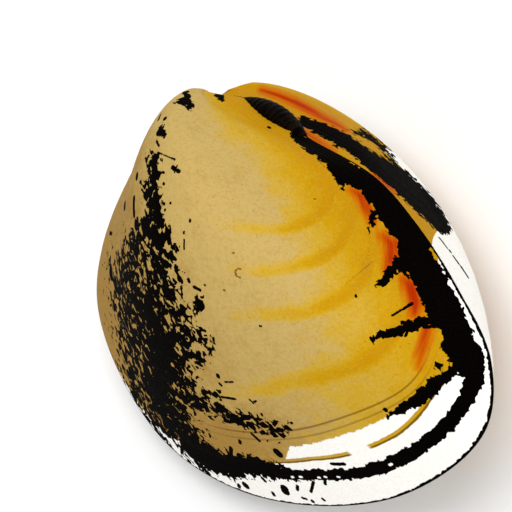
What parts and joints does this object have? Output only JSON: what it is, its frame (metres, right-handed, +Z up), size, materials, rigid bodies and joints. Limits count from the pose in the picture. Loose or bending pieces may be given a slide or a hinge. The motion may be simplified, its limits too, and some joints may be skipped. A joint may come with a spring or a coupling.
{
  "type": "clam shell",
  "caption": "Closed clam shell lying on its side: two hollow domed valves with anterior beaks, joined by a dark ligament behind them.",
  "frame": {"origin": "on the surface that the shell lies on, under the middle of its box", "axes": "+X from the beaks along the hinge to the back end, +Y to the raised hinge side, +Z up"},
  "size_m": [0.0888, 0.0628, 0.0517],
  "materials": {
    "shell": "satin shell, honey to cream with gold growth bands, ragged dark skin and bare chalky white near the rim",
    "ligament": "dark brown, horny, cross-ribbed"
  },
  "bodies": {
    "root": {"left_valve": "shell", "right_valve": "shell", "ligament": "ligament"}
  },
  "joints": []
}
